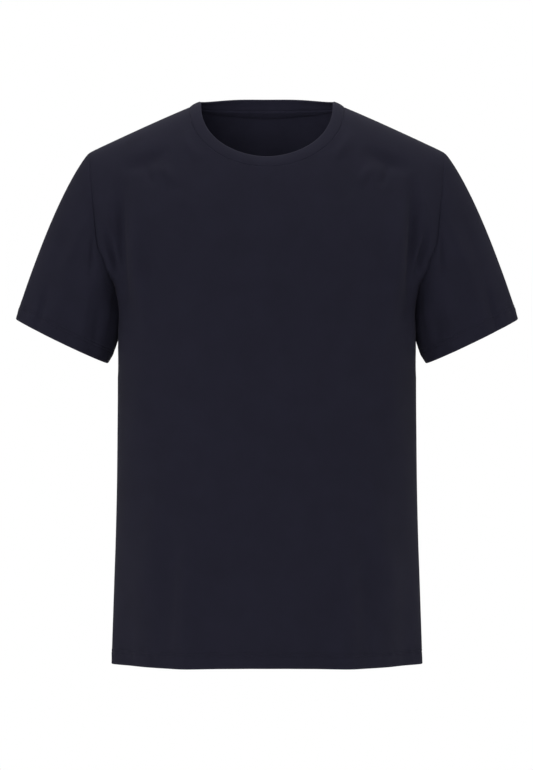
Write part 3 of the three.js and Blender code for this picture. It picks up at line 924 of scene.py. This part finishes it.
def knit_relief(tree):
    """Columns of stitches, each with two slanting legs."""
    uv = add_node(tree, "UVMap", {}, uv_map="cut")
    split = add_node(tree, "SeparateXYZ", {0: uv.outputs["UV"]})
    wale = math_node(tree, "DIVIDE", split.outputs["X"], KNIT["wale"] * MM)
    course = math_node(tree, "DIVIDE", split.outputs["Y"], KNIT["course"] * MM)
    inside = math_node(tree, "PINGPONG", wale, 0.5)
    legs = math_node(tree, "SINE", math_node(tree, "MULTIPLY", inside, 2 * math.pi))
    slant = math_node(tree, "SUBTRACT", course, math_node(tree, "MULTIPLY", inside, KNIT["slant"]))
    loops = math_node(tree, "SINE", math_node(tree, "MULTIPLY", slant, 2 * math.pi))
    loops = math_node(tree, "MULTIPLY_ADD", loops, KNIT["waist"], 1 - KNIT["waist"])
    return math_node(tree, "MULTIPLY", legs, loops)


def jersey_nodes(tree):
    """Fine single jersey: knitted relief, fuzz and mottled yarn, paler at worn folds, and paler within,
    partly as the reverse side is and partly as painted light that lifts the shade inside.
    """
    place = add_node(tree, "TexCoord", {}).outputs["Object"]
    fuzz = add_node(tree, "TexNoise", {"Scale": 1400, "Detail": 3, "Vector": place}).outputs["Fac"]
    mottle = add_node(tree, "TexNoise", {"Scale": 26, "Detail": 5, "Roughness": 0.65, "Vector": place})
    mottled = math_node(tree, "MULTIPLY", mottle.outputs["Fac"], 1 - FUZZ_SHARE["tone"])
    blend = math_node(tree, "MULTIPLY_ADD", fuzz, FUZZ_SHARE["tone"], mottled)
    face, reverse = (tone_ramp(tree, blend, TONES[side], (0.3, 0.7)) for side in ("face", "reverse"))
    # Where the reverse's paler tone shows: partly the purl side's own colour, partly painted light lifting
    # the shade inside.
    reverse_and_painted_light_share = add_node(tree, "Attribute", {}, attribute_name="reverse").outputs["Fac"]
    sides = add_node(tree, "Mix", {"Factor": reverse_and_painted_light_share, "A": face, "B": reverse}, data_type="RGBA")
    wear = add_node(tree, "Attribute", {}, attribute_name="wear").outputs["Fac"]
    values = {"Factor": math_node(tree, "MULTIPLY", wear, fuzz), "A": sides.outputs["Result"], "B": WORN}
    worn = add_node(tree, "Mix", values, data_type="RGBA")
    relief = math_node(tree, "MULTIPLY_ADD", fuzz, FUZZ_SHARE["relief"], knit_relief(tree))
    return worn.outputs["Result"], relief, fuzz


def thread_nodes(tree):
    """Twisted polyester thread in the cloth's tone, a little smoother."""
    place = add_node(tree, "TexCoord", {}).outputs["Object"]
    values = {"Scale": 900, "Distortion": 1.5, "Vector": place}
    twist = add_node(tree, "TexWave", values, bands_direction="DIAGONAL").outputs["Fac"]
    return tone_ramp(tree, twist, TONES["thread"], (0, 1)), twist, twist


# ---- The garment ----
front_grid, back_grid = body()
sleeve_grids = {}
for side_name, hand in (("sleeve_right", -1), ("sleeve_left", 1)):
    loop = armhole(front_grid, back_grid, hand)
    grid, turns = sleeve(loop, hand)
    grid = press_sleeve(grid, turns, SLEEVE_UNEVEN[side_name])
    reaches = np.full(len(loop), SWAY_REACH["reach"])
    for drawn in (front_grid, back_grid, grid):
        draw_in(drawn, loop, armhole_sway(loop, hand), reaches, SWAY_REACH["steepness"])
    loop = armhole(front_grid, back_grid, hand)
    outward = armhole(normals(front_grid), normals(back_grid), hand) + normals(grid, closed=True)[-1]
    pulls, reaches = armhole_pulls(loop, outward, hand)
    for drawn in (front_grid, back_grid, grid):
        draw_in(drawn, loop, pulls, reaches, ARMHOLE_PULL["steepness"])
    sleeve_grids[side_name] = grid

CLOTHS = {
    "front": Cloth(front_grid, False, ["left", "right", "top"]),
    "back": Cloth(back_grid, False, ["left", "right", "top"]),
    "sleeve_left": Cloth(sleeve_grids["sleeve_left"], True, ["top"]),
    "sleeve_right": Cloth(sleeve_grids["sleeve_right"], True, ["top"]),
    "neckband": Cloth(neckband(front_grid, back_grid), True, ["foot"]),
}
front, back, sleeve_left, sleeve_right, band = CLOTHS.values()

below = slice(0, ARMPIT_ROW + 1)
join(front, (below, 0), back, (below, -1))
join(front, (below, -1), back, (below, 0))
columns = front_grid.shape[1]
on_shoulders = np.r_[0 : SHOULDER + 1, columns - SHOULDER - 1 : columns]
join(front, (-1, on_shoulders), back, (-1, columns - 1 - on_shoulders))
armhole_rows = np.arange(ARMPIT_ROW, front_grid.shape[0])
span = len(armhole_rows)
loop_down = np.arange(span)[::-1]
loop_up = (np.arange(span) + span - 1) % (2 * span - 2)
for joined, left, right in ((sleeve_right, front, back), (sleeve_left, back, front)):
    join(left, (armhole_rows, 0), joined, (-1, loop_down))
    join(right, (armhole_rows, -1), joined, (-1, loop_up))
neck = np.arange(SHOULDER, columns - SHOULDER)
ring = np.arange(len(neck))
join(front, (-1, neck), band, (0, ring))
join(back, (-1, neck), band, (0, (ring + len(neck) - 1) % (2 * len(neck) - 2)))

for cloth in CLOTHS.values():
    mitre(cloth)
band.dip[:] = SEAM_DIP["neck_depth"]
front.dip[-1, neck] = back.dip[-1, neck] = SEAM_DIP["neck_depth"]


def above_hem(up):
    """0 in the hem, where the cloth is doubled, and 1 above it."""
    return smoothstep(up, HEM["height"], HEM["height"] + HEM["step"])


def hem_relief(up, across):
    """The stitches' two grooves, and the slight puckers that they draw up."""
    relief = np.zeros(up.shape)
    for height in NEEDLES:
        relief -= NEEDLE_DIP["depth"] * np.exp(-(((up - height) / NEEDLE_DIP["half_width"]) ** 2))
    waves = sum(
        height * np.sin(2 * math.pi * (across + lean * up) / length) for length, lean, height in PUCKERS
    )
    return relief + waves * np.exp(-(((up - PUCKER_BAND["centre"]) / PUCKER_BAND["half_width"]) ** 2))


def underarm_relief(cloth):
    """The groove of a sleeve's own seam, under the arm."""
    across = along(cloth.grid)
    from_seam = np.abs(across - across[:, cloth.grid.shape[1] // 2][:, None])
    return -SEAM_DIP["depth"] * np.exp(-((from_seam / SEAM_DIP["half_width"]) ** 2))


# So that no two hems pucker alike.
PIECE_SHIFT = {"front": 0, "back": 31, "sleeve_left": 11, "sleeve_right": 53}
FACES = {}
for name, cloth in CLOTHS.items():
    up = cloth.edge_distances["foot"]
    if name == "neckband":
        thickness = lerp(CLOTH, BAND_CLOTH, smoothstep(up, *BAND_THICKENS))
        FACES[name] = shell(cloth, thickness, np.zeros(up.shape), ["top"])
        continue
    across = along(cloth.grid[:1])[0]
    relief = hem_relief(up, across[None, :] + PIECE_SHIFT[name])
    if cloth.closed:
        relief += underarm_relief(cloth)
    FACES[name] = shell(cloth, lerp(HEM["cloth"], CLOTH, above_hem(up)), relief, ["foot"])

jersey_look = {
    "Specular IOR Level": 0.12,
    "Sheen Weight": 0.015,
    "Sheen Roughness": 0.4,
    "Sheen Tint": (0.9, 0.84, 1.0, 1),
}
jersey = rough_material(
    "navy_jersey", jersey_nodes, roughness=(0.82, 0.98), strength=0.35, depth=0.0002, look=jersey_look
)
thread_look = {"Specular IOR Level": 0.15}
thread = rough_material(
    "navy_thread", thread_nodes, roughness=(0.5, 0.7), strength=0.3, depth=0.0001, look=thread_look
)


def dress(piece, material):
    piece.data.materials.append(material)
    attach(piece, "root")
    return piece


def allowance(name, lap, under, closed):
    """A seam's overlocked edges, which lie over one piece's inner lines and begin on the other's (lap)."""
    seam_line = (lap[0] + under[0]) / 2
    lines = np.stack([lap[ALLOWANCE["lip"]], seam_line, *under[1:]])
    strip = Cloth(lines, closed)
    inside = np.array([0, SIDE_SEAM_Y, lines[..., 2].mean()]) - lines
    if np.sum(strip.normals * inside) > 0:
        strip = Cloth(lines[::-1], closed)
    outer = strip.grid - strip.normals * ALLOWANCE["clearance"]
    inner = outer - strip.normals * ALLOWANCE["thickness"]
    plain = np.zeros(strip.grid.shape[:2])
    # The allowance's visible side is made paler, partly as the reverse is and partly as painted light lifting
    # its shade.
    reverse = plain + ALLOWANCE["reverse"]
    return dress(build_mesh(name, strip, outer, inner, flat_cut(strip), plain, reverse), jersey)


def lines_in(name, pick):
    """A piece's inner lines, from its edge inward."""
    _, inner = FACES[name]
    return [inner[pick(k)] for k in range(ALLOWANCE["lines"])]


def panel_lines(pick, hand):
    """The front's and the back's inner lines. pick gets their number and a count of columns from a side."""
    up_to, down_from = (lambda n: n), (lambda n: columns - 1 - n)
    front_at, back_at = (up_to, down_from) if hand < 0 else (down_from, up_to)
    return lines_in("front", lambda k: pick(k, front_at)), lines_in("back", lambda k: pick(k, back_at))


SEWN = {name: [] for name in CLOTHS}
hem_row = np.argmax(HEM_STEPS > HEM["height"])
side_rows = np.arange(hem_row, ARMPIT_ROW - ALLOWANCE_ENDS["armpit"])
shoulder_columns = np.arange(ALLOWANCE_ENDS["tip"], SHOULDER - ALLOWANCE_ENDS["neck"])
for hand, side_name in ((-1, "right"), (1, "left")):
    side_lines = panel_lines(lambda k, at: (side_rows, at(k)), hand)
    side = allowance(f"side_allowance_{side_name}", *side_lines, False)
    over_lines = panel_lines(lambda k, at: (-1 - k, at(shoulder_columns)), hand)
    over = allowance(f"shoulder_allowance_{side_name}", *over_lines, False)
    SEWN["back"] += [side, over]
    edge_lines = panel_lines(lambda k, at: (armhole_rows, at(k)), hand)
    body_lines = [armhole_line(a, b, hand) for a, b in zip(*edge_lines)]
    sleeve_name = "sleeve_" + side_name
    sleeve_lines = lines_in(sleeve_name, lambda k: (-1 - k, ALL))
    SEWN[sleeve_name].append(allowance(f"armhole_allowance_{side_name}", body_lines, sleeve_lines, True))
front_lines, back_lines = (lines_in(name, lambda k: (-1 - k, neck)) for name in ("front", "back"))
neck_lines = [np.concatenate([a, b[1:-1]]) for a, b in zip(front_lines, back_lines)]
band_lines = lines_in("neckband", lambda k: (k, ALL))
SEWN["neckband"].append(allowance("neck_allowance", band_lines, neck_lines, True))

# Each piece's shell in place of its solid, with its cut in metres (across, then along), its worn folds and
# the hems' stitches.
for name, cloth in CLOTHS.items():
    outer, inner = FACES[name]
    fold = "top" if name == "neckband" else "foot"
    wear = FOLD_WEAR["most"] * np.exp(-((cloth.edge_distances[fold] / FOLD_WEAR["reach"]) ** 2))
    up = cloth.edge_distances["foot"]
    # Above the hem the inner face is paler: partly the reverse's own colour, partly painted light lifting the
    # shade inside.
    reverse = above_hem(up)
    if name == "neckband":
        reverse[:] = BAND_REVERSE_AND_PAINTED_LIGHT
    piece = build_mesh(name + "_cloth", cloth, outer, inner, flat_cut(cloth), wear, reverse)
    dress(piece, jersey)
    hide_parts(name)
    if name != "neckband":
        SEWN[name].append(dress(stitches(name + "_stitches", cloth, outer), thread))


# ---- Stage, light and camera, in metres ----
centre = (cad_low + cad_high) / 2
FLOOR_DROP = 0.26  # the wearer's shoulders would hold the top this far over the floor
floor_mesh = bpy.data.meshes.new("floor")
reach, depth = 30, cad_low.z - FLOOR_DROP
corners = [(x * reach, y * reach, depth) for x, y in ((-1, -1), (1, -1), (1, 1), (-1, 1))]
floor_mesh.from_pydata(corners, [], [(0, 1, 2, 3)])
floor = new_object("floor", floor_mesh)


def seen_white(tree, kind, lit, output):
    """Shows plain white to the camera, and what is lit to everything else."""
    path = add_node(tree, "LightPath", {})
    white = add_node(tree, kind, {"Color": (1, 1, 1, 1), "Strength": 1})
    shown = {"Fac": path.outputs["Is Camera Ray"], 1: lit.outputs[0], 2: white.outputs[0]}
    add_node(tree, output, {"Surface": add_node(tree, "MixShader", shown).outputs[0]})


paper = bpy.data.materials.new("white_paper")
paper_tree = nodes_of(paper)
paper_look = add_node(paper_tree, "BsdfPrincipled", {"Base Color": (0.93, 0.93, 0.93, 1), "Roughness": 0.9})
seen_white(paper_tree, "Emission", paper_look, "OutputMaterial")
floor_mesh.materials.append(paper)

world = bpy.data.worlds.new("studio")
bpy.context.scene.world = world
world_tree = nodes_of(world)
seen_white(world_tree, "Background", add_node(world_tree, "Background", {"Strength": 0.15}), "OutputWorld")

# Square softboxes that face the garment's middle: their direction from it and their watts.
SOFTBOX = {"distance": 4.2, "size": 2.4}
LIGHTS = {
    "front": ((-0.22, -1, 0.13), 47),
    "front_left": ((-1.1, -0.7, 1), 36),
    "front_right": ((1.1, -0.7, 1), 31),
    "high_left": ((-0.9, 0.2, 1.8), 65),
    "high_right": ((0.9, 0.2, 1.8), 78),
    "top_back": ((0, 0.8, 1), 50),
    "back": ((0, 1, 0), 62),
}
for name, (toward, power) in LIGHTS.items():
    data = bpy.data.lights.new(name, "AREA")
    data.shape = "SQUARE"
    data.size = SOFTBOX["size"]
    data.energy = power
    lamp = new_object(name, data)
    direction = Vector(toward).normalized()
    lamp.location = centre + direction * SOFTBOX["distance"]
    lamp.rotation_mode = "QUATERNION"
    lamp.rotation_quaternion = (-direction).to_track_quat("-Z", "Y")

CAMERA = {"distance": 8, "elevation": 2, "sensor": 36, "frame_height": 0.9548, "far": 100}
AIM_OFFSET = (-0.00056, 0, -0.0037)  # the garment sits just off the frame's middle
camera_data = bpy.data.cameras.new("camera")
camera_data.sensor_width = CAMERA["sensor"]
camera_data.lens = CAMERA["sensor"] * CAMERA["distance"] / CAMERA["frame_height"]
camera_data.clip_end = CAMERA["far"]
camera = new_object("camera", camera_data)
tilt = math.radians(CAMERA["elevation"])
aim = centre + Vector(AIM_OFFSET)
camera.location = aim + Vector((0, -math.cos(tilt), math.sin(tilt))) * CAMERA["distance"]
camera.rotation_euler = (QUARTER - tilt, 0, 0)
bpy.context.scene.camera = camera
bpy.context.scene.view_settings.view_transform = "Standard"
